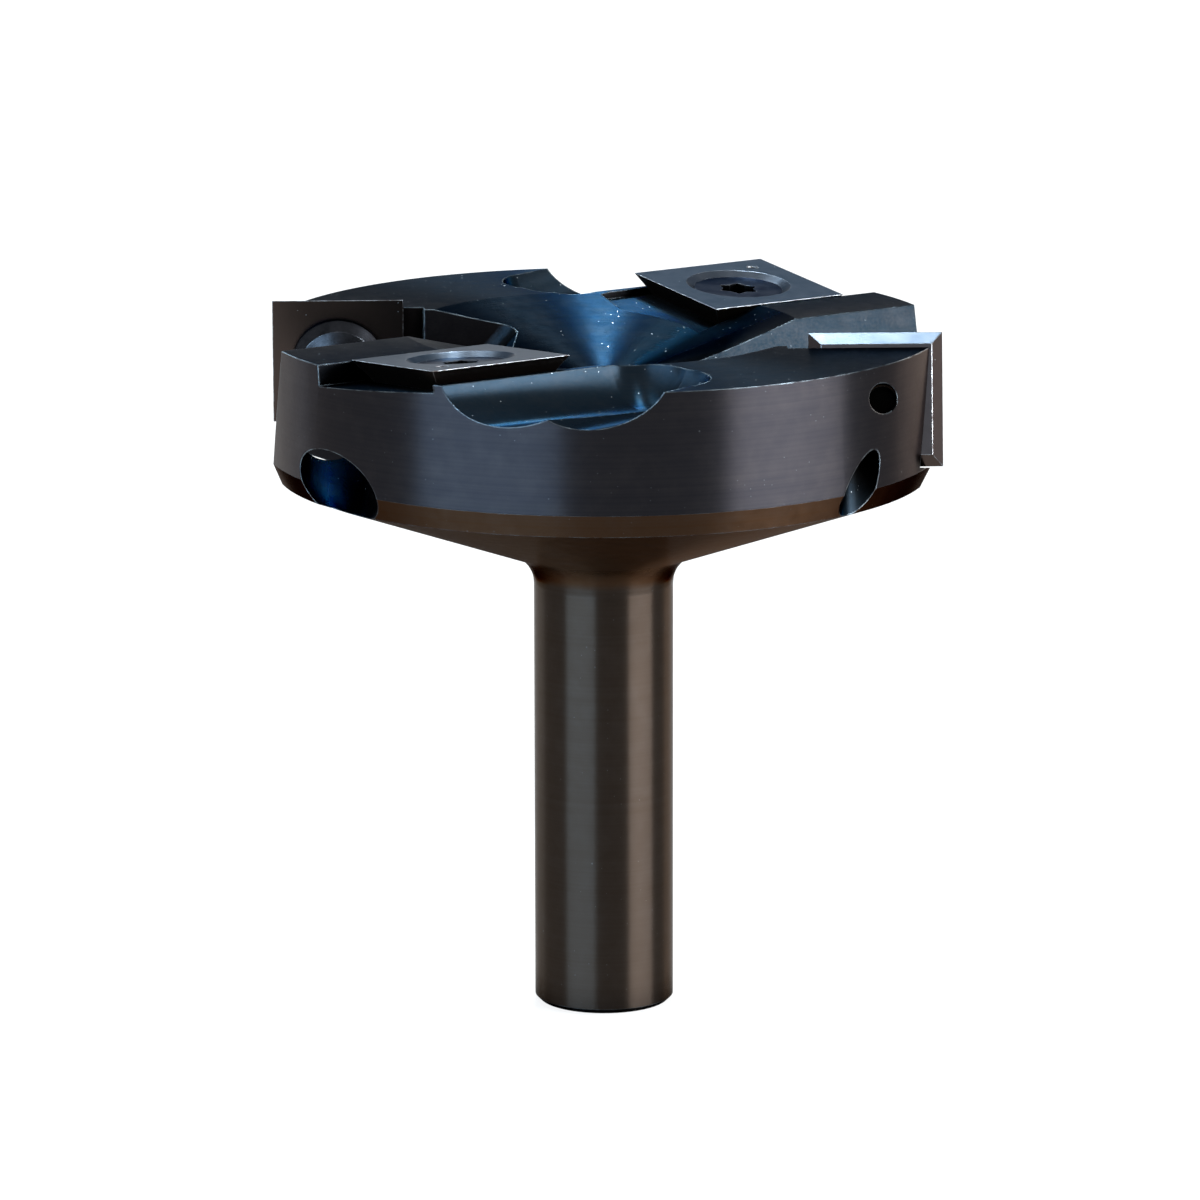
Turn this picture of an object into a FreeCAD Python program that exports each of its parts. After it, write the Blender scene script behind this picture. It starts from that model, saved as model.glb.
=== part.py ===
import FreeCAD, Part
import math
import os

import Sketcher

# Surfacing cutter with two upright wing knives and two flat floor knives on one
# turned and milled body. Z runs up the axis, with 0 at the end of the shank.
# The right wing knife lies along X; the second of each pair is half a turn away.
SIZES = {
    # turned body
    "shank_radius": 6.35,
    "shank_end_chamfer": 0.43,
    "shank_fillet": 3.0,
    "head_top": 62.7,
    "head_radius": 30.65,
    "rim_height": 10.9,
    "rim_chamfer_height": 2.1,
    "rim_chamfer_width": 1.0,
    "under_cone_angle": 20.0,
    "dish_radius": 18.0,
    "dish_depth": 5.2,
    # wing knife: outer top corner, lean of its face and blank
    "wing_corner_setback": 0.67,
    "wing_corner_y": 8.96,
    "wing_rise": 1.03,
    "wing_tilt": 12.0,
    "wing_knife_side": 12.0,
    "wing_knife_thickness": 1.5,
    "knife_bevel_angle": 35.0,
    "wing_seat_side_gap": 1.9,
    "wing_seat_foot_gap": 0.1,
    # gullet in front of the wing knife
    "gullet_rear_y": 9.6,
    "gullet_far_offset": 5.8,
    "gullet_far_draft": 16.0,
    "gullet_top_run": 25.6,
    "gullet_foot_run": 9.6,
    "gullet_run_out": 5.0,
    "gullet_corner_radius": 1.5,
    # wing screw, its thread hole and the hole for the driver
    "wing_thread_radius": 1.35,
    "thread_clearance": 0.05,
    "wing_hole_radius": 2.0,
    "wing_head_radius": 4.2,
    "wing_head_height": 2.1,
    "wing_head_rim": 0.55,
    "wing_head_flat_radius": 2.3,
    "wing_screw_length": 3.5,
    "driver_hole_radius": 3.4,
    # small blind hole that rises from the chamfer below the rim
    "rim_hole_radius": 1.88,
    "rim_hole_azimuth": 44.7,
    "rim_hole_below_rim": 0.25,
    "rim_hole_tilt": 50.0,
    "rim_hole_depth": 5.5,
    # floor knife: direction and place of its top face, and blank
    "floor_yaw": 30.0,
    "floor_screw_setback": 10.45,
    "floor_across": 8.6,
    "floor_rise": 0.73,
    "floor_tilt": 5.16,
    "floor_knife_side": 14.0,
    "floor_knife_thickness": 2.0,
    "floor_seat_back_gap": 0.1,
    "floor_ridge_setback": 0.8,
    "floor_seat_inner_run": 4.1,
    # floor screw and its countersink
    "floor_sink_radius": 4.85,
    "floor_hole_radius": 2.4,
    "floor_sink_depth": 1.6,
    "floor_head_drop": 0.45,
    "floor_thread_radius": 2.0,
    "floor_screw_length": 8.0,
    # round index dimple near one corner of each knife
    "dimple_radius": 0.55,
    "dimple_depth": 0.15,
    "dimple_setback": 2.5,
    # chip trough ahead of the floor knife: one pass of a ball-end cutter along
    # the knife's edge, and a sweep beside it that turns away from the edge
    "trough_ball_radius": 5.0,
    "trough_depth": 3.25,
    "trough_along": 9.0,
    "trough_across": 20.3,
    "sweep_turn": 16.0,
    "sweep_along": 14.5,
    "sweep_across": 19.4,
    # six-lobe sockets
    "wing_socket_core": 1.16,
    "wing_socket_reach": 1.63,
    "wing_socket_depth": 1.3,
    "floor_socket_core": 1.4,
    "floor_socket_reach": 1.95,
    "floor_socket_depth": 1.4,
    # how far cutting sketches reach past the solid
    "overcut": 6.0,
}

HALF_TURNS = (0, 180)
SOCKET_LOBES = 6
MATCH = 0.01

doc = FreeCAD.newDocument("fly_cutter")
sheet = doc.addObject("Spreadsheet::Sheet", "sizes")
for row, (alias, value) in enumerate(SIZES.items(), start=1):
    sheet.set("A%d" % row, str(value))
    sheet.setAlias("A%d" % row, alias)
doc.recompute()


def size(alias):
    return float(sheet.get(alias))


def placed(x, y, z, axis, angle):
    """A placement, as an expression."""
    return "placement(vector(%s; %s; %s); rotation(vector(%s); %s))" % (x, y, z, axis, angle)


def head_frame(turn):
    """On the axis at the top of the head, turned to one side."""
    return placed(0, 0, "sizes.head_top", "0; 0; 1", turn)


def wing_frame(turn):
    """At the wing knife's outer top corner: X outward, Y out of its face, Z up the face."""
    corner = "sizes.head_radius - sizes.wing_corner_setback"
    return head_frame(turn) + " * " + placed(
        corner, "-sizes.wing_corner_y", "sizes.wing_rise", "1; 0; 0", "-sizes.wing_tilt")


def wing_face_frame(turn, forward):
    """A sketch plane parallel to the wing knife's face, its normal pointing back into the body."""
    return wing_frame(turn) + " * " + placed(0, forward, 0, "1; 0; 0", 90)


def wing_screw_frame(turn):
    """At the middle of the wing knife's face, Z out of the face."""
    middle = "-sizes.wing_knife_side / 2"
    return wing_frame(turn) + " * " + placed(middle, 0, middle, "1; 0; 0", -90)


def floor_plan_frame(turn):
    """On the head's top plane, X along the floor knife's cutting edge."""
    return head_frame(turn) + " * " + placed(0, 0, 0, "0; 0; 1", "sizes.floor_yaw")


def floor_frame(turn):
    """At the middle of the floor knife's top face, Y towards its cutting edge."""
    along = "sizes.head_radius - sizes.floor_screw_setback"
    return floor_plan_frame(turn) + " * " + placed(
        along, "sizes.floor_across", "sizes.floor_rise", "1; 0; 0", "sizes.floor_tilt")


def new_body(label):
    body = doc.addObject("PartDesign::Body", label)
    body.Label = label
    return body


def origin_feature(body, role):
    return [f for f in body.Origin.OriginFeatures if f.Role == role][0]


def new_sketch(body, name, frame=None, plane="XY_Plane"):
    sketch = body.newObject("Sketcher::SketchObject", name)
    sketch.AttachmentSupport = [(origin_feature(body, plane), "")]
    sketch.MapMode = "FlatFace"
    if frame:
        sketch.setExpression("AttachmentOffset", frame)
    return sketch


def dimension(sketch, name, constraint, expression):
    index = sketch.addConstraint(constraint)
    sketch.renameConstraint(index, name)
    sketch.setExpression("Constraints." + name, expression)


def draw_outline(sketch, corners):
    """A closed outline of straight lines; each corner is an (x, y) pair of expressions."""
    count = len(corners)
    for i in range(count):
        angle = 2 * math.pi * i / count
        start = FreeCAD.Vector(math.cos(angle), math.sin(angle), 0)
        sketch.addGeometry(Part.LineSegment(start, start + FreeCAD.Vector(0.1, 0.2, 0)), False)
    for i in range(count):
        sketch.addConstraint(Sketcher.Constraint("Coincident", i, 2, (i + 1) % count, 1))
    for i, (x, y) in enumerate(corners):
        dimension(sketch, "x%d" % i, Sketcher.Constraint("DistanceX", -1, 1, i, 1, 1.0 + i), x)
        dimension(sketch, "y%d" % i, Sketcher.Constraint("DistanceY", -1, 1, i, 1, 2.0 + i), y)


def draw_circle(sketch, x, y, radius):
    """A circle, its middle and radius given as expressions."""
    circle = sketch.addGeometry(Part.Circle(FreeCAD.Vector(1, 1, 0), FreeCAD.Vector(0, 0, 1), 1), False)
    dimension(sketch, "x", Sketcher.Constraint("DistanceX", -1, 1, circle, 3, 1.0), x)
    dimension(sketch, "y", Sketcher.Constraint("DistanceY", -1, 1, circle, 3, 1.0), y)
    dimension(sketch, "r", Sketcher.Constraint("Radius", circle, 1.0), radius)


def pocket(body, name, sketch, length, with_normal=False):
    """A pocket against the sketch's normal, or along it."""
    before = body.Shape.Volume
    cut = body.newObject("PartDesign::Pocket", name)
    cut.Profile = sketch
    cut.setExpression("Length", length)
    cut.Reversed = with_normal
    sketch.Visibility = False
    doc.recompute()
    if not cut.Shape.Volume < before:
        raise RuntimeError(name + " cut nothing")
    return cut


def revolve(body, name, sketch, kind="PartDesign::Revolution"):
    feature = body.newObject(kind, name)
    feature.Profile = sketch
    feature.ReferenceAxis = (sketch, ["V_Axis"])
    feature.Angle = 360
    sketch.Visibility = False
    doc.recompute()
    return feature


def edge_names(shape, wanted):
    return ["Edge%d" % (i + 1) for i, edge in enumerate(shape.Edges) if wanted(edge)]


def fillet(body, name, wanted, radius):
    """Rounds the edges of the body's tip that a test picks out."""
    base = body.Tip
    names = edge_names(base.Shape, wanted)
    if not names:
        raise RuntimeError(name + " found no edge")
    feature = body.newObject("PartDesign::Fillet", name)
    feature.Base = (base, names)
    feature.setExpression("Radius", radius)
    doc.recompute()
    if not feature.isValid():
        raise RuntimeError(name + " failed")
    return feature


def flat_at(edge, z):
    box = edge.BoundBox
    return abs(box.ZMin - z) < MATCH and abs(box.ZMax - z) < MATCH


def turned_blank(body):
    """The lathe profile: shank, fillet, flared underside and rim."""
    profile = new_sketch(body, "turned_profile", plane="XZ_Plane")
    rim_foot = "sizes.head_top - sizes.rim_height"
    cone_top = rim_foot + " - sizes.rim_chamfer_height"
    cone_radius = "sizes.head_radius - sizes.rim_chamfer_width"
    cone_foot = "%s - (%s - sizes.shank_radius) * tan(sizes.under_cone_angle)" % (cone_top, cone_radius)
    draw_outline(profile, [
        ("0", "0"),
        ("sizes.shank_radius - sizes.shank_end_chamfer", "0"),
        ("sizes.shank_radius", "sizes.shank_end_chamfer"),
        ("sizes.shank_radius", cone_foot),
        (cone_radius, cone_top),
        ("sizes.head_radius", rim_foot),
        ("sizes.head_radius", "sizes.head_top"),
        ("0", "sizes.head_top"),
    ])
    revolve(body, "turned_blank", profile)
    neck = (size("head_top") - size("rim_height") - size("rim_chamfer_height")
            - (size("head_radius") - size("rim_chamfer_width") - size("shank_radius"))
            * math.tan(math.radians(size("under_cone_angle"))))
    fillet(body, "neck_fillet", lambda edge: flat_at(edge, neck), "sizes.shank_fillet")


def dish(body):
    """The shallow cone turned into the top face."""
    profile = new_sketch(body, "dish_profile", plane="XZ_Plane")
    draw_outline(profile, [
        ("0", "sizes.head_top - sizes.dish_depth"),
        ("sizes.dish_radius", "sizes.head_top"),
        ("sizes.dish_radius", "sizes.head_top + sizes.overcut"),
        ("0", "sizes.head_top + sizes.overcut"),
    ])
    revolve(body, "dish", profile, "PartDesign::Groove")


def gullet_outline(height, inner_end):
    """The gullet's plan at a height over the head's top: rear wall, inner end and leaning far wall."""
    reach = "(sizes.head_radius + sizes.overcut)"
    offset = "(sizes.gullet_far_offset - (%s) * tan(sizes.gullet_far_draft))" % height
    far = "((%s) * sin(sizes.floor_yaw) - " + offset + ") / cos(sizes.floor_yaw)"
    return [
        (reach, "-sizes.gullet_rear_y"),
        (reach, far % reach),
        (inner_end, far % inner_end),
        (inner_end, "-sizes.gullet_rear_y"),
    ]


def wing_gullet(body, turn):
    sections = []
    foot = "-(sizes.rim_height + sizes.rim_chamfer_height + sizes.gullet_run_out)"
    for name, height, end in (("top", "sizes.wing_rise", "sizes.head_radius - sizes.gullet_top_run"),
                              ("foot", foot, "sizes.head_radius - sizes.gullet_foot_run")):
        frame = head_frame(turn) + " * " + placed(0, 0, height, "0; 0; 1", 0)
        section = new_sketch(body, "gullet_%s_%d" % (name, turn), frame)
        draw_outline(section, gullet_outline(height, end))
        sections.append(section)
    cut = body.newObject("PartDesign::SubtractiveLoft", "wing_gullet_%d" % turn)
    cut.Profile = sections[0]
    cut.Sections = [sections[1]]
    cut.Ruled = True
    doc.recompute()


def slopes_down(edge):
    """A straight edge that runs down the slope of a gullet's inner end."""
    top, middle, foot = points_along(edge)
    run = foot - top
    straight = ((top + foot) / 2 - middle).Length < MATCH
    return straight and abs(run.z) > size("rim_height") / 2 and math.hypot(run.x, run.y) > abs(run.z) / 3


def wing_seat(body, turn):
    """The leaning recess that the wing knife stands in, with a free slot at its inner side."""
    seat = new_sketch(body, "wing_seat_plan_%d" % turn, wing_face_frame(turn, "-sizes.wing_knife_thickness"))
    inner = "-sizes.wing_knife_side - sizes.wing_seat_side_gap"
    foot = "-sizes.wing_knife_side - sizes.wing_seat_foot_gap"
    draw_outline(seat, [(inner, foot), ("sizes.overcut", foot),
                        ("sizes.overcut", "sizes.overcut"), (inner, "sizes.overcut")])
    pocket(body, "wing_seat_%d" % turn, seat, "sizes.wing_knife_thickness + sizes.overcut / 2")


def wing_holes(body, turn):
    """The thread hole behind the wing knife, and the driver's hole through the land in front of it."""
    middle = "-sizes.wing_knife_side / 2"
    thread = new_sketch(body, "wing_thread_plan_%d" % turn, wing_face_frame(turn, "-sizes.wing_knife_thickness"))
    draw_circle(thread, middle, middle, "sizes.wing_thread_radius")
    pocket(body, "wing_thread_hole_%d" % turn, thread, "sizes.head_radius / 2", with_normal=True)
    driver = new_sketch(body, "driver_plan_%d" % turn, wing_face_frame(turn, "sizes.gullet_rear_y"))
    draw_circle(driver, middle, middle, "sizes.driver_hole_radius")
    pocket(body, "driver_hole_%d" % turn, driver, "sizes.head_radius")


def rim_hole(body, turn):
    """A blind hole that slants up into the rim and breaks out through the chamfer below it."""
    frame = head_frame(turn) + " * " + placed(0, 0, 0, "0; 0; 1", "-sizes.rim_hole_azimuth")
    frame += " * " + placed("sizes.head_radius", 0, "-(sizes.rim_height + sizes.rim_hole_below_rim)", "0; 0; 1", "sizes.rim_hole_azimuth")
    frame += " * " + placed(0, 0, 0, "1; 0; 0", "90 + sizes.rim_hole_tilt")
    plan = new_sketch(body, "rim_hole_plan_%d" % turn, frame + " * " + placed(0, 0, "sizes.overcut", "0; 0; 1", 0))
    draw_circle(plan, "0", "0", "sizes.rim_hole_radius")
    pocket(body, "rim_hole_%d" % turn, plan, "sizes.overcut + sizes.rim_hole_depth")


def floor_seat(body, turn):
    """The shallow leaning recess that the floor knife lies in, open at the rim and in the dish."""
    frame = floor_frame(turn) + " * " + placed(0, 0, "-sizes.floor_knife_thickness", "0; 0; 1", 0)
    plan = new_sketch(body, "floor_seat_plan_%d" % turn, frame)
    inner = "-sizes.floor_knife_side / 2 - sizes.floor_seat_inner_run"
    outer = "sizes.floor_knife_side + sizes.overcut"
    back = "-sizes.floor_knife_side / 2 - sizes.floor_seat_back_gap"
    front = "sizes.floor_knife_side / 2 - sizes.floor_ridge_setback"
    draw_outline(plan, [(inner, back), (outer, back), (outer, front), (inner, front)])
    pocket(body, "floor_seat_%d" % turn, plan, "sizes.floor_knife_thickness + sizes.overcut", with_normal=True)
    thread = new_sketch(body, "floor_thread_plan_%d" % turn, frame)
    draw_circle(thread, "0", "0", "sizes.floor_thread_radius + sizes.thread_clearance")
    pocket(body, "floor_thread_hole_%d" % turn, thread, "sizes.floor_screw_length")


def ball_pass(body, name, frame):
    """A straight pass of a ball-end cutter along a frame's Y axis, from its origin outward."""
    profile = new_sketch(body, name + "_profile", frame)
    circle = Part.Circle(FreeCAD.Vector(0, 0, 0), FreeCAD.Vector(0, 0, 1), 1)
    ball = profile.addGeometry(Part.ArcOfCircle(circle, -math.pi / 2, 0), False)
    corners = [FreeCAD.Vector(1, 0, 0), FreeCAD.Vector(1, 3, 0), FreeCAD.Vector(0, 3, 0), FreeCAD.Vector(0, -1, 0)]
    lines = [profile.addGeometry(Part.LineSegment(a, b), False) for a, b in zip(corners, corners[1:])]
    wall, end, axis = lines
    for joint in ((ball, 2, wall, 1), (wall, 2, end, 1), (end, 2, axis, 1), (axis, 2, ball, 1), (ball, 3, -1, 1)):
        profile.addConstraint(Sketcher.Constraint("Coincident", *joint))
    profile.addConstraint(Sketcher.Constraint("PointOnObject", ball, 2, -1))
    profile.addConstraint(Sketcher.Constraint("PointOnObject", ball, 1, -2))
    profile.addConstraint(Sketcher.Constraint("PointOnObject", end, 2, -2))
    profile.addConstraint(Sketcher.Constraint("Vertical", wall))
    profile.addConstraint(Sketcher.Constraint("Horizontal", end))
    dimension(profile, "radius", Sketcher.Constraint("Radius", ball, 1.0), "sizes.trough_ball_radius")
    dimension(profile, "reach", Sketcher.Constraint("DistanceY", -1, 1, end, 1, 3.0),
              "sizes.head_radius + sizes.overcut")
    revolve(body, name, profile, "PartDesign::Groove")


def chip_trough(body, turn):
    """The shallow trough ahead of the floor knife's edge, open at the rim."""
    height = "sizes.trough_ball_radius - sizes.trough_depth"
    along = placed("sizes.trough_along", "sizes.trough_across", height, "0; 0; 1", -90)
    ball_pass(body, "chip_trough_%d" % turn, floor_plan_frame(turn) + " * " + along)
    turned = floor_plan_frame(turn) + " * " + placed(0, 0, 0, "0; 0; 1", "sizes.sweep_turn")
    along = placed("sizes.sweep_along", "sizes.sweep_across", height, "0; 0; 1", -90)
    ball_pass(body, "trough_sweep_%d" % turn, turned + " * " + along)


def points_along(edge):
    """An edge's first, middle and last point."""
    first, last = edge.FirstParameter, edge.LastParameter
    return [edge.valueAt(first), edge.valueAt((first + last) / 2), edge.valueAt(last)]


def cutter_body():
    body = new_body("cutter_body")
    turned_blank(body)
    dish(body)
    for turn in HALF_TURNS:
        chip_trough(body, turn)
    for turn in HALF_TURNS:
        wing_gullet(body, turn)
    fillet(body, "gullet_corners", slopes_down, "sizes.gullet_corner_radius")
    for turn in HALF_TURNS:
        floor_seat(body, turn)
        wing_seat(body, turn)
        wing_holes(body, turn)
        rim_hole(body, turn)
    return body


def knife_blank(body, side, thickness):
    """A square plate in its own frame, its large face up at Z 0 and its four sides bevelled inward."""
    plan = new_sketch(body, "blank_plan")
    half = "%s / 2" % side
    draw_outline(plan, [("-" + half, "-" + half), (half, "-" + half), (half, half), ("-" + half, half)])
    plate = body.newObject("PartDesign::Pad", "blank")
    plate.Profile = plan
    plate.Reversed = True
    plate.setExpression("Length", thickness)
    plate.setExpression("TaperAngle", "-sizes.knife_bevel_angle")
    plan.Visibility = False
    doc.recompute()
    dimple = new_sketch(body, "dimple_plan")
    corner = "%s - sizes.dimple_setback" % half
    draw_circle(dimple, corner, corner, "sizes.dimple_radius")
    pocket(body, "dimple", dimple, "sizes.dimple_depth")


def floor_knife(label, turn):
    body = new_body(label)
    knife_blank(body, "sizes.floor_knife_side", "sizes.floor_knife_thickness")
    sink = new_sketch(body, "sink_profile", plane="XZ_Plane")
    depth = "-sizes.floor_knife_thickness - sizes.overcut"
    draw_outline(sink, [
        ("0", depth),
        ("sizes.floor_hole_radius", depth),
        ("sizes.floor_hole_radius", "-sizes.floor_sink_depth"),
        ("sizes.floor_sink_radius", "0"),
        ("0", "0"),
    ])
    revolve(body, "sink", sink, "PartDesign::Groove")
    body.setExpression("Placement", floor_frame(turn))
    return body


def wing_knife(label, turn):
    body = new_body(label)
    knife_blank(body, "sizes.wing_knife_side", "sizes.wing_knife_thickness")
    hole = new_sketch(body, "hole_plan")
    draw_circle(hole, "0", "0", "sizes.wing_hole_radius")
    pocket(body, "hole", hole, "sizes.wing_knife_thickness + sizes.overcut")
    body.setExpression("Placement", wing_screw_frame(turn))
    return body


def six_lobe_socket(body, top, kind):
    """A six-lobe driver socket: lobes and hollows are the outer and inner corners of a star."""
    corners = []
    for i in range(2 * SOCKET_LOBES):
        radius = "sizes.%s_socket_%s" % (kind, ("reach", "core")[i % 2])
        angle = 180 * i / SOCKET_LOBES
        corners.append(("%s * cos(%s)" % (radius, angle), "%s * sin(%s)" % (radius, angle)))
    star = new_sketch(body, "socket_plan", placed(0, 0, top, "0; 0; 1", 0))
    draw_outline(star, corners)
    pocket(body, "socket", star, "sizes.%s_socket_depth" % kind)


def floor_screw(label, turn):
    """A countersunk screw whose head lies in the knife's own cone, a little below its face."""
    body = new_body(label)
    profile = new_sketch(body, "screw_profile", plane="XZ_Plane")
    slope = "(sizes.floor_sink_radius - sizes.floor_hole_radius) / sizes.floor_sink_depth"
    head_radius = "sizes.floor_sink_radius - sizes.floor_head_drop * " + slope
    neck = "-sizes.floor_head_drop - (%s - sizes.floor_thread_radius) / (%s)" % (head_radius, slope)
    foot = "-sizes.floor_knife_thickness - sizes.floor_screw_length"
    draw_outline(profile, [
        ("0", foot + " + sizes.floor_thread_radius"),
        ("sizes.floor_thread_radius / 2", foot + " + sizes.floor_thread_radius"),
        ("sizes.floor_thread_radius", foot + " + sizes.floor_thread_radius * 1.5"),
        ("sizes.floor_thread_radius", neck),
        (head_radius, "-sizes.floor_head_drop"),
        ("0", "-sizes.floor_head_drop"),
    ])
    revolve(body, "screw", profile)
    six_lobe_socket(body, "-sizes.floor_head_drop", "floor")
    body.setExpression("Placement", floor_frame(turn))
    return body


def wing_screw(label, turn):
    """A round-headed screw that stands on the wing knife's face."""
    body = new_body(label)
    profile = new_sketch(body, "screw_profile", plane="XZ_Plane")
    thread = "sizes.wing_thread_radius - sizes.thread_clearance"
    foot = "-sizes.wing_knife_thickness - sizes.wing_screw_length"
    shoulder = "(sizes.wing_head_radius + sizes.wing_head_flat_radius) / 2"
    draw_outline(profile, [
        ("0", foot),
        (thread, foot),
        (thread, "0"),
        ("sizes.wing_head_radius", "0"),
        ("sizes.wing_head_radius", "sizes.wing_head_rim"),
        (shoulder + " + sizes.wing_head_rim / 2", "sizes.wing_head_height - sizes.wing_head_rim"),
        ("sizes.wing_head_flat_radius", "sizes.wing_head_height"),
        ("0", "sizes.wing_head_height"),
    ])
    revolve(body, "screw", profile)
    six_lobe_socket(body, "sizes.wing_head_height", "wing")
    body.setExpression("Placement", wing_screw_frame(turn))
    return body


def check(parts):
    for thing in doc.Objects:
        if "Invalid" in thing.State or "Error" in thing.State:
            raise RuntimeError("%s is %s" % (thing.Name, thing.State))
    for part in parts:
        if part.Shape.isNull() or not part.Shape.isValid() or len(part.Shape.Solids) != 1:
            raise RuntimeError(part.Label + " has no valid single solid")


parts = [cutter_body()]
for number, turn in enumerate(HALF_TURNS, start=1):
    parts.append(wing_knife("wing_knife_%d" % number, turn))
    parts.append(wing_screw("wing_screw_%d" % number, turn))
    parts.append(floor_knife("floor_knife_%d" % number, turn))
    parts.append(floor_screw("floor_screw_%d" % number, turn))
doc.recompute()
check(parts)
os.makedirs("parts", exist_ok=True)
for part in parts:
    part.Shape.exportStep("parts/%s.step" % part.Label)
    print(part.Label, round(part.Shape.Volume, 1), part.Shape.BoundBox)
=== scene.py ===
import math

import bmesh
import bpy
from mathutils import Matrix, Vector

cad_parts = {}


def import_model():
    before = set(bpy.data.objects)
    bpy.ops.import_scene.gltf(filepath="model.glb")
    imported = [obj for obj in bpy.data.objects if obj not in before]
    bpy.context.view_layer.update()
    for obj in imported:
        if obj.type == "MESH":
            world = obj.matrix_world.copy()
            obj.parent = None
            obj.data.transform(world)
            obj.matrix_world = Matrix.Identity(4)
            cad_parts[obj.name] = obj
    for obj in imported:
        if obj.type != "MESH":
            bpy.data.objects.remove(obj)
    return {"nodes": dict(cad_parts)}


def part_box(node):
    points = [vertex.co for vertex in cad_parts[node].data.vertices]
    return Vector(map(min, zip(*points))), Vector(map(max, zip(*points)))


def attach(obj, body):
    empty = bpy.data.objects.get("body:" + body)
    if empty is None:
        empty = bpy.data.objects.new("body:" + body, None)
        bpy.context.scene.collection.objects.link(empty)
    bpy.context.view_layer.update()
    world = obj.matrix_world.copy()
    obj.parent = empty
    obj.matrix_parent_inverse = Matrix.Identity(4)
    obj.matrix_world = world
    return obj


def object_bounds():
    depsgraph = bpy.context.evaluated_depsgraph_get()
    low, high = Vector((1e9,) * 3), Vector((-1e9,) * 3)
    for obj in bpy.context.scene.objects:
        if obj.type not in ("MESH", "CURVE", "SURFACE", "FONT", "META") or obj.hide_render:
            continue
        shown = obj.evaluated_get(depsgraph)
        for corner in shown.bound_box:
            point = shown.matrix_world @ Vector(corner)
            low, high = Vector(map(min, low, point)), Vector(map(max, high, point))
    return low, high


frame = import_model()
cad_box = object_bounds()
nodes = frame["nodes"]

MM = 0.001

# Camera: where it looks and from how far, in millimetres and degrees.
AZIMUTH = -2.016
ELEVATION = 12.797
ROLL = -0.0956
DISTANCE = 665.66
AIM_RIGHT = -0.3247
AIM_HEIGHT = 37.44
SENSOR = 36.0
LENS = 219.04

# Threads tapped behind the wing knives, in millimetres.
WING_TILT = 12.0
THREAD_RADIUS = 1.35
THREAD_PITCH = 0.5
THREAD_CREST = 0.16
THREAD_START = 4.4
THREAD_END = 7.2
THREAD_STEPS = 24

# Heights between which the shank's colour gives way to the rim's, in metres.
SHANK_TOP = 0.040
HEAD_FOOT = 0.046

# The gullets' walls lie this near to the plane through the axis and the wing knives, in metres; painted shade
# darkens the walls within it.
GULLET_EDGE = 0.010
GULLET_FADE = 0.012

# Colours of the finishes, with painted reflection, shade and highlight among them.
SHANK_BROWN = (0.0225, 0.0170, 0.0135, 1)
RIM_BLACK = (0.0135, 0.0135, 0.0165, 1)
# Painted reflection: brown on faces that look down, teal on faces that look up.
UNDERSIDE_PAINTED_REFLECTION_BROWN = (0.036, 0.0195, 0.0105, 1)
TOP_PAINTED_REFLECTION_TEAL = (0.0088, 0.0165, 0.0250, 1)
# Painted shade on the gullets' walls.
GULLET_WALL_PAINTED_SHADE = (0.001, 0.002, 0.003, 1)
RUBBED_OXIDE = (0.045, 0.041, 0.040, 1)
# Worn edges, with painted highlight.
BARE_EDGE_AND_PAINTED_HIGHLIGHT = (0.16, 0.20, 0.23, 1)
DUST = (0.50, 0.57, 0.63, 1)
# Painted shade in holes and corners.
HOLLOW_PAINTED_SHADE = (0.003, 0.003, 0.003, 1)
CARBIDE_DARK = (0.038, 0.048, 0.062, 1)
CARBIDE_LIGHT = (0.060, 0.070, 0.087, 1)
# Painted reflection: brown on carbide faces that don't look up.
CARBIDE_SIDE_PAINTED_REFLECTION_BROWN = (0.052, 0.039, 0.034, 1)
# Worn carbide edges, with painted highlight.
CARBIDE_WORN_EDGE_AND_PAINTED_HIGHLIGHT = (0.45, 0.50, 0.55, 1)
CARBIDE_DUST = (0.6, 0.66, 0.72, 1)
SCREW_DARK = (0.008, 0.009, 0.011, 1)
SCREW_LIGHT = (0.022, 0.023, 0.027, 1)
# Worn screw edges, with painted highlight.
SCREW_WORN_EDGE_AND_PAINTED_HIGHLIGHT = (0.20, 0.22, 0.25, 1)
# Painted shade in the screws' hollows.
SCREW_HOLLOW_PAINTED_SHADE = (0.001, 0.001, 0.001, 1)

# Tints of reflections at a grazing angle; the ones for faces that look up or down paint reflection of the
# surroundings, and the one for holes paints shade.
UNDERSIDE_PAINTED_REFLECTION_TINT = (0.17, 0.11, 0.075, 1)
SIDE_TINT = (0.60, 0.57, 0.55, 1)
TOP_PAINTED_REFLECTION_TINT = (0.336, 0.344, 0.356, 1)
# Painted shade: less reflection in holes and corners.
HOLLOW_PAINTED_SHADE_TINT = (0.05, 0.05, 0.05, 1)
# Painted reflection: warm tint on carbide sides, bluish on tops.
CARBIDE_SIDE_PAINTED_REFLECTION_TINT = (0.52, 0.50, 0.50, 1)
CARBIDE_TOP_PAINTED_REFLECTION_TINT = (0.36, 0.385, 0.42, 1)
SCREW_TINT = (0.40, 0.42, 0.46, 1)

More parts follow.
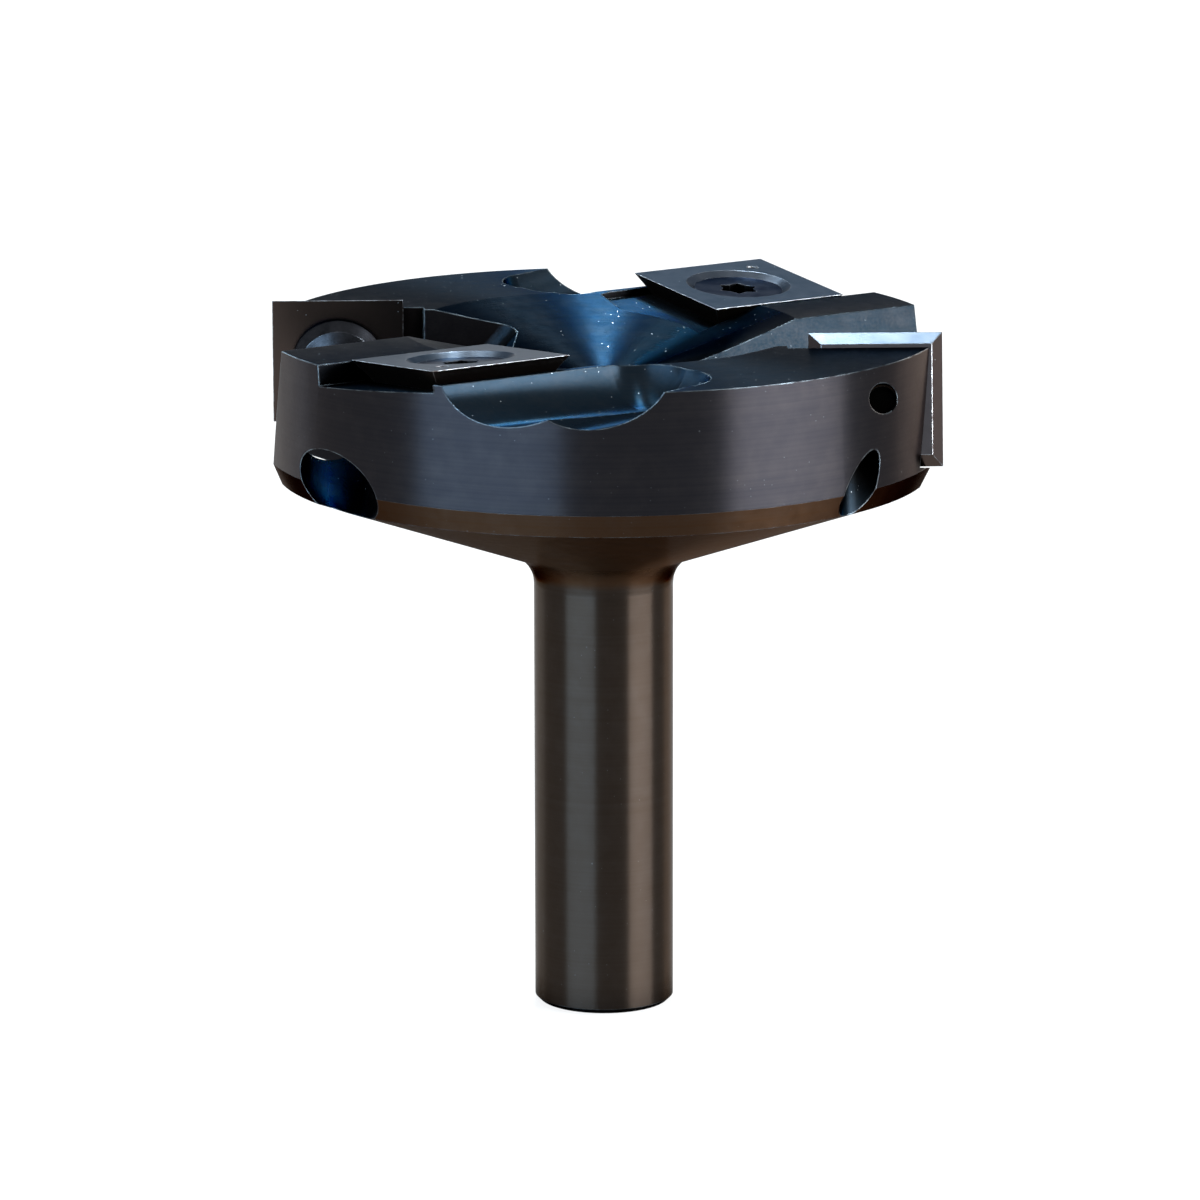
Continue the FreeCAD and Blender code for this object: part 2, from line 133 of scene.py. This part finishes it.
# Studio: sizes in metres, power in watts.
WHITE = (1, 1, 1, 1)
WORLD_COLOUR = (0.9, 0.95, 1.0, 1)
WORLD_LEVEL = 0.2
FLOOR_SIZE = 3.0
FLOOR_DROP = 0.0001
FLOOR_SHADE = 0.9
FLOOR_GLOW = 0.85
LAMP_DISTANCE = 0.9
LAMPS = (
    # name, azimuth, elevation, width, height, power, colour
    ("left_light", -41, 9, 0.82, 0.34, 18, (0.52, 0.77, 1.0)),
    ("right_light", 62, 7, 0.72, 0.30, 20, (1.0, 0.99, 0.98)),
    ("ridge_light", 62, 31, 0.40, 0.12, 7, (0.90, 0.96, 1.0)),
    ("streak_light", 178, 52, 0.08, 0.36, 10, (0.88, 0.97, 1.0)),
    ("rear_left_light", -132, 10, 0.46, 0.30, 4, (0.72, 0.88, 1.0)),
    ("rear_right_light", 130, 8, 0.46, 0.30, 3.5, (1.0, 0.86, 0.74)),
    ("back_light", 204, 50, 0.12, 0.30, 2.5, (0.88, 0.97, 1.0)),
)


def polar(azimuth, elevation):
    """A unit vector; azimuth 0 points to the camera's side, -Y, and positive turns to +X."""
    a, e = math.radians(azimuth), math.radians(elevation)
    return Vector((math.sin(a) * math.cos(e), -math.cos(a) * math.cos(e), math.sin(e)))


def node_middle(name):
    low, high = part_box(name)
    return (Vector(low) + Vector(high)) / 2


# Materials

class Graph:
    """A material's node tree, with short calls for the nodes that the finishes share."""

    def __init__(self, name):
        self.material = bpy.data.materials.new(name)
        self.material.use_nodes = True
        self.tree = self.material.node_tree
        self.shader = self.tree.nodes["Principled BSDF"]
        self.place = self.node("ShaderNodeTexCoord").outputs["Object"]
        self.normal = self.node("ShaderNodeNewGeometry").outputs["Normal"]

    def node(self, kind, inputs=None, **settings):
        made = self.tree.nodes.new(kind)
        for key, value in settings.items():
            setattr(made, key, value)
        for key, value in (inputs or {}).items():
            self.feed(made.inputs[key], value)
        return made

    def feed(self, socket, value):
        if isinstance(value, bpy.types.NodeSocket):
            self.tree.links.new(value, socket)
        else:
            socket.default_value = value

    def set(self, **values):
        for key, value in values.items():
            self.feed(self.shader.inputs[key.replace("_", " ")], value)

    def math(self, operation, a, b=0.0):
        return self.node("ShaderNodeMath", {0: a, 1: b}, operation=operation).outputs[0]

    def vector(self, operation, a, b=(0, 0, 0), output="Vector"):
        return self.node("ShaderNodeVectorMath", {0: a, 1: b}, operation=operation).outputs[output]

    def split(self, vector):
        return self.node("ShaderNodeSeparateXYZ", {0: vector}).outputs

    def join(self, x, y, z):
        return self.node("ShaderNodeCombineXYZ", {0: x, 1: y, 2: z}).outputs[0]

    def stretch(self, x, y, z):
        """The object's coordinates, scaled along each axis."""
        return self.vector("MULTIPLY", self.place, (x, y, z))

    def noise(self, scale, detail=3.0, roughness=0.6, vector=None):
        inputs = {"Vector": vector or self.place, "Scale": scale, "Detail": detail, "Roughness": roughness}
        return self.node("ShaderNodeTexNoise", inputs).outputs["Fac"]

    def ramp(self, value, low, high, start=0.0, end=1.0):
        """Maps low..high to start..end, clamped."""
        inputs = {"Value": value, "From Min": low, "From Max": high, "To Min": start, "To Max": end}
        return self.node("ShaderNodeMapRange", inputs).outputs["Result"]

    def blend(self, factor, a, b):
        mix = self.node("ShaderNodeMix", data_type="RGBA")
        self.feed(mix.inputs["Factor"], factor)
        self.feed(mix.inputs[6], a)
        self.feed(mix.inputs[7], b)
        return mix.outputs[2]

    def rounded(self, radius):
        """The surface's normal with every edge rounded, and how far that turns it."""
        soft = self.node("ShaderNodeBevel", {"Radius": radius}, samples=6).outputs[0]
        turn = self.math("SUBTRACT", 1.0, self.vector("DOT_PRODUCT", soft, self.normal, "Value"))
        return soft, turn

    def depth(self, reach):
        """Painted shade: 1 inside holes and corners, 0 on open faces."""
        open_share = self.node("ShaderNodeAmbientOcclusion", {"Distance": reach}, samples=6).outputs["AO"]
        return self.ramp(open_share, 0.35, 0.72, 1.0, 0.0)

    def bump(self, height, distance, strength, normal):
        made = self.node("ShaderNodeBump", {"Strength": strength, "Distance": distance, "Height": height})
        self.feed(made.inputs["Normal"], normal)
        self.feed(self.shader.inputs["Normal"], made.outputs["Normal"])


def specks(graph, scale, size, share):
    """1 on small round specks of dust, 0 elsewhere."""
    dots = graph.node("ShaderNodeTexVoronoi", {"Vector": graph.place, "Scale": scale})
    near = graph.math("LESS_THAN", dots.outputs["Distance"], size)
    chosen = graph.math("LESS_THAN", graph.split(dots.outputs["Color"])[0], share)
    return graph.math("MULTIPLY", near, chosen)


def worn_edges_and_painted_highlight(graph, turn, grain, low, high):
    """1 on edges where the finish has worn off and a highlight is painted, broken up by noise."""
    edge_patchiness = graph.ramp(graph.noise(grain, 4), 0.35, 0.65)
    return graph.math("MULTIPLY", graph.ramp(turn, low, high), edge_patchiness)


def turned_lines(graph, fineness):
    """Noise drawn out round the part's axis, as a lathe tool leaves it."""
    x, y, z = graph.split(graph.place)
    radius = graph.math("SQRT", graph.math("ADD", graph.math("MULTIPLY", x, x), graph.math("MULTIPLY", y, y)))
    return graph.noise(fineness, 2, 0.5, graph.join(radius, z, 0.0))


def black_oxide():
    """Blackened steel, blue-black round the rim, with painted reflection: teal on faces that look up and brown
    on those that look down; painted shade on the gullets' walls and in holes; worn edges with painted
    highlight.
    """
    g = Graph("black_oxide")
    up = g.split(g.normal)[2]
    height = g.split(g.place)[2]
    shank = g.ramp(height, SHANK_TOP, HEAD_FOOT)
    side = g.blend(shank, SHANK_BROWN, RIM_BLACK)
    # Painted reflection: brown on faces that look down.
    side = g.blend(g.ramp(up, -0.45, -0.15), UNDERSIDE_PAINTED_REFLECTION_BROWN, side)
    # Painted reflection: teal on faces that look up.
    tone = g.blend(g.ramp(up, 0.02, 0.26), side, TOP_PAINTED_REFLECTION_TEAL)
    across = g.math("ABSOLUTE", g.split(g.place)[1])
    # Painted shade on the gullets' walls near the plane through the wing knives.
    gullet_wall_shade = g.math("MULTIPLY", g.ramp(up, 0.08, 0.16), g.ramp(up, 0.6, 0.75, 1.0, 0.0))
    gullet_wall_shade = g.math("MULTIPLY", gullet_wall_shade, g.ramp(across, GULLET_EDGE, GULLET_FADE, 0.65, 0.0))
    tone = g.blend(gullet_wall_shade, tone, GULLET_WALL_PAINTED_SHADE)
    streaks = g.ramp(turned_lines(g, 4200), 0.3, 0.7, 0.0, 0.10)
    clouds = g.ramp(g.noise(520, 4), 0.45, 0.75, 0.0, 0.10)
    tone = g.blend(g.math("ADD", streaks, clouds), tone, RUBBED_OXIDE)
    soft, turn = g.rounded(0.00018)
    # Worn edges with painted highlight.
    tone = g.blend(worn_edges_and_painted_highlight(g, turn, 700, 0.01, 0.12), tone, BARE_EDGE_AND_PAINTED_HIGHLIGHT)
    dust = g.math("MAXIMUM", specks(g, 1700, 0.08, 0.30), specks(g, 700, 0.06, 0.12))
    tone = g.blend(g.math("MULTIPLY", dust, g.ramp(up, 0.2, 0.6, 0.06, 0.8)), tone, DUST)
    # Painted reflection in the grazing tint: brown on faces that look down, bluish on faces that look up.
    grazing_tint_with_painted_reflection = g.blend(g.ramp(up, -0.45, -0.1), UNDERSIDE_PAINTED_REFLECTION_TINT, SIDE_TINT)
    grazing_tint_with_painted_reflection = g.blend(g.ramp(up, 0.02, 0.26), grazing_tint_with_painted_reflection, TOP_PAINTED_REFLECTION_TINT)
    # Painted shade in holes and corners, on colour and reflection.
    hollow_shade = g.depth(0.006)
    tone = g.blend(hollow_shade, tone, HOLLOW_PAINTED_SHADE)
    grazing_tint_with_painted_reflection = g.blend(hollow_shade, grazing_tint_with_painted_reflection, HOLLOW_PAINTED_SHADE_TINT)
    g.set(Base_Color=tone, Metallic=1.0, Specular_Tint=grazing_tint_with_painted_reflection, Anisotropic=0.95, Anisotropic_Rotation=0.25)
    g.set(Roughness=g.ramp(g.noise(900, 3), 0.3, 0.7, 0.32, 0.38))
    round_axis = g.node("ShaderNodeTangent", direction_type="RADIAL", axis="Z").outputs[0]
    g.set(Tangent=round_axis)
    g.bump(turned_lines(g, 5200), 0.000006, 0.6, soft)
    return g.material


def carbide():
    """Ground hard metal: grey, with fine grinding lines, painted brown reflection on faces that don't look up,
    and worn edges with painted highlight.
    """
    g = Graph("carbide")
    up = g.split(g.normal)[2]
    lines = g.noise(1.0, 3, 0.5, g.stretch(6000, 900, 900))
    tone = g.blend(g.ramp(g.noise(600, 4), 0.3, 0.7), CARBIDE_DARK, CARBIDE_LIGHT)
    # Painted reflection: brown on faces that don't look up.
    tone = g.blend(g.ramp(up, 0.05, 0.4), CARBIDE_SIDE_PAINTED_REFLECTION_BROWN, tone)
    # Painted reflection in the grazing tint: warm on sides, bluish on tops.
    grazing_tint_with_painted_reflection = g.blend(g.ramp(up, 0.5, 0.9), CARBIDE_SIDE_PAINTED_REFLECTION_TINT, CARBIDE_TOP_PAINTED_REFLECTION_TINT)
    soft, turn = g.rounded(0.00010)
    # Worn edges with painted highlight.
    tone = g.blend(worn_edges_and_painted_highlight(g, turn, 1500, 0.01, 0.1), tone, CARBIDE_WORN_EDGE_AND_PAINTED_HIGHLIGHT)
    tone = g.blend(specks(g, 1300, 0.07, 0.14), tone, CARBIDE_DUST)
    g.set(Base_Color=tone, Metallic=1.0, Roughness=0.28, Specular_Tint=grazing_tint_with_painted_reflection)
    g.bump(lines, 0.000008, 0.4, soft)
    return g.material


def screw_steel(name, middle, axis):
    """A dark screw head with turning rings about its own axis, worn edges with painted highlight and painted
    shade in its hollows.
    """
    g = Graph(name)
    arm = g.vector("SUBTRACT", g.place, middle)
    radius = g.vector("LENGTH", g.vector("CROSS_PRODUCT", arm, axis), output="Value")
    rings = g.noise(1.0, 2, 0.5, g.join(g.math("MULTIPLY", radius, 9000), 0.0, 0.0))
    tone = g.blend(g.ramp(g.noise(700, 3), 0.3, 0.7), SCREW_DARK, SCREW_LIGHT)
    soft, turn = g.rounded(0.00012)
    # Worn edges with painted highlight.
    tone = g.blend(worn_edges_and_painted_highlight(g, turn, 900, 0.01, 0.12), tone, SCREW_WORN_EDGE_AND_PAINTED_HIGHLIGHT)
    # Painted shade in the screw's hollows.
    tone = g.blend(g.depth(0.004), tone, SCREW_HOLLOW_PAINTED_SHADE)
    g.set(Base_Color=tone, Metallic=1.0, Roughness=0.30, Specular_Tint=SCREW_TINT)
    g.bump(rings, 0.000010, 0.7, soft)
    return g.material


def paper(name):
    """White to the camera and in reflections, with some of the object's shadow left."""
    g = Graph(name)
    g.set(Base_Color=(FLOOR_SHADE, FLOOR_SHADE, FLOOR_SHADE, 1), Roughness=0.9)
    white = g.node("ShaderNodeEmission", {"Color": WHITE, "Strength": 1.0})
    mix = g.node("ShaderNodeMixShader")
    g.feed(mix.inputs[0], g.math("MULTIPLY", sees_background(g.tree), FLOOR_GLOW))
    g.feed(mix.inputs[1], g.shader.outputs[0])
    g.feed(mix.inputs[2], white.outputs[0])
    g.feed(g.tree.nodes["Material Output"].inputs["Surface"], mix.outputs[0])
    return g.material


def dress(name, material):
    piece = nodes[name]
    piece.data.materials.clear()
    piece.data.materials.append(material)


# Threads

def thread(name, turn, material):
    """The crest of the thread that shows in the hole behind a wing knife, out to the rim."""
    middle = node_middle("wing_knife_1")
    tilt = math.radians(WING_TILT)
    axis = Vector((0, -math.cos(tilt), math.sin(tilt)))
    across = Vector((1, 0, 0))
    third = axis.cross(across)
    start, end = THREAD_START * MM, THREAD_END * MM
    radius, crest, pitch = THREAD_RADIUS * MM, THREAD_CREST * MM, THREAD_PITCH * MM
    mesh = bmesh.new()
    rings = []
    steps = int((end - start) / pitch * THREAD_STEPS)
    for i in range(steps + 1):
        angle = 2 * math.pi * i / THREAD_STEPS
        out = across * math.cos(angle) + third * math.sin(angle)
        along = start + pitch * i / THREAD_STEPS
        ring = []
        for inward, shift in ((0.0, -0.4), (crest, 0.0), (0.0, 0.4)):
            ring.append(mesh.verts.new(middle + axis * (along + shift * pitch) + out * (radius - inward)))
        rings.append(ring)
    for a, b in zip(rings, rings[1:]):
        for j in (0, 1):
            mesh.faces.new((a[j], a[j + 1], b[j + 1], b[j]))
    mesh.transform(Matrix.Rotation(math.radians(turn), 4, "Z"))
    data = bpy.data.meshes.new(name)
    mesh.to_mesh(data)
    mesh.free()
    piece = bpy.data.objects.new(name, data)
    bpy.context.scene.collection.objects.link(piece)
    data.materials.append(material)
    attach(piece, "root")


# Stage

def sees_background(tree):
    """1 for rays from the camera, and for reflected and refracted ones."""
    path = tree.nodes.new("ShaderNodeLightPath")
    total = path.outputs["Is Camera Ray"]
    for name in ("Is Glossy Ray", "Is Transmission Ray"):
        most = tree.nodes.new("ShaderNodeMath")
        most.operation = "MAXIMUM"
        tree.links.new(total, most.inputs[0])
        tree.links.new(path.outputs[name], most.inputs[1])
        total = most.outputs[0]
    return total


def world():
    made = bpy.data.worlds.new("studio")
    bpy.context.scene.world = made
    made.use_nodes = True
    tree = made.node_tree
    light = tree.nodes["Background"]
    light.inputs["Color"].default_value = WORLD_COLOUR
    light.inputs["Strength"].default_value = WORLD_LEVEL
    white = tree.nodes.new("ShaderNodeBackground")
    white.inputs["Color"].default_value = WHITE
    white.inputs["Strength"].default_value = 1.0
    mix = tree.nodes.new("ShaderNodeMixShader")
    tree.links.new(sees_background(tree), mix.inputs[0])
    tree.links.new(light.outputs[0], mix.inputs[1])
    tree.links.new(white.outputs[0], mix.inputs[2])
    tree.links.new(mix.outputs[0], tree.nodes["World Output"].inputs["Surface"])


def floor():
    bpy.ops.mesh.primitive_plane_add(size=FLOOR_SIZE, location=(0, 0, -FLOOR_DROP))
    made = bpy.context.object
    made.name = "floor"
    made.data.materials.append(paper("floor_paper"))


def softbox(name, azimuth, elevation, width, height, power, colour):
    data = bpy.data.lights.new(name, "AREA")
    data.shape = "RECTANGLE"
    data.size = width
    data.size_y = height
    data.energy = power
    data.color = colour
    lamp = bpy.data.objects.new(name, data)
    bpy.context.scene.collection.objects.link(lamp)
    back = polar(azimuth, elevation)
    lamp.location = Vector((0, 0, cad_box[1][2])) + back * LAMP_DISTANCE
    lamp.rotation_euler = (-back).to_track_quat("-Z", "Y").to_euler()


def camera():
    back = polar(0, ELEVATION)
    right = Vector((1, 0, 0))
    up = back.cross(right)
    roll = math.radians(ROLL)
    rolled_right = right * math.cos(roll) + up * math.sin(roll)
    rolled_up = up * math.cos(roll) - right * math.sin(roll)
    spot = Vector((AIM_RIGHT, 0, AIM_HEIGHT)) * MM + back * DISTANCE * MM
    place = Matrix((rolled_right, rolled_up, back)).transposed().to_4x4()
    place.translation = spot
    data = bpy.data.cameras.new("camera")
    data.sensor_width = SENSOR
    data.lens = LENS
    data.clip_start = 0.01
    made = bpy.data.objects.new("camera", data)
    bpy.context.scene.collection.objects.link(made)
    made.matrix_world = Matrix.Rotation(math.radians(AZIMUTH), 4, "Z") @ place
    bpy.context.scene.camera = made


oxide = black_oxide()
hard_metal = carbide()
dress("cutter_body", oxide)
tilt = math.radians(WING_TILT)
for number, side, turn in ((1, 1, 0), (2, -1, 180)):
    dress("wing_knife_%d" % number, hard_metal)
    dress("floor_knife_%d" % number, hard_metal)
    wing_axis = (0, side * math.cos(tilt), -math.sin(tilt))
    wing = "wing_screw_%d" % number
    dress(wing, screw_steel(wing + "_steel", node_middle("wing_knife_%d" % number), wing_axis))
    lying = "floor_screw_%d" % number
    dress(lying, screw_steel(lying + "_steel", node_middle("floor_knife_%d" % number), (0, 0, 1)))
    thread("wing_thread_%d" % number, turn, oxide)

world()
floor()
for lamp in LAMPS:
    softbox(*lamp)
camera()
bpy.context.scene.view_settings.view_transform = "Standard"
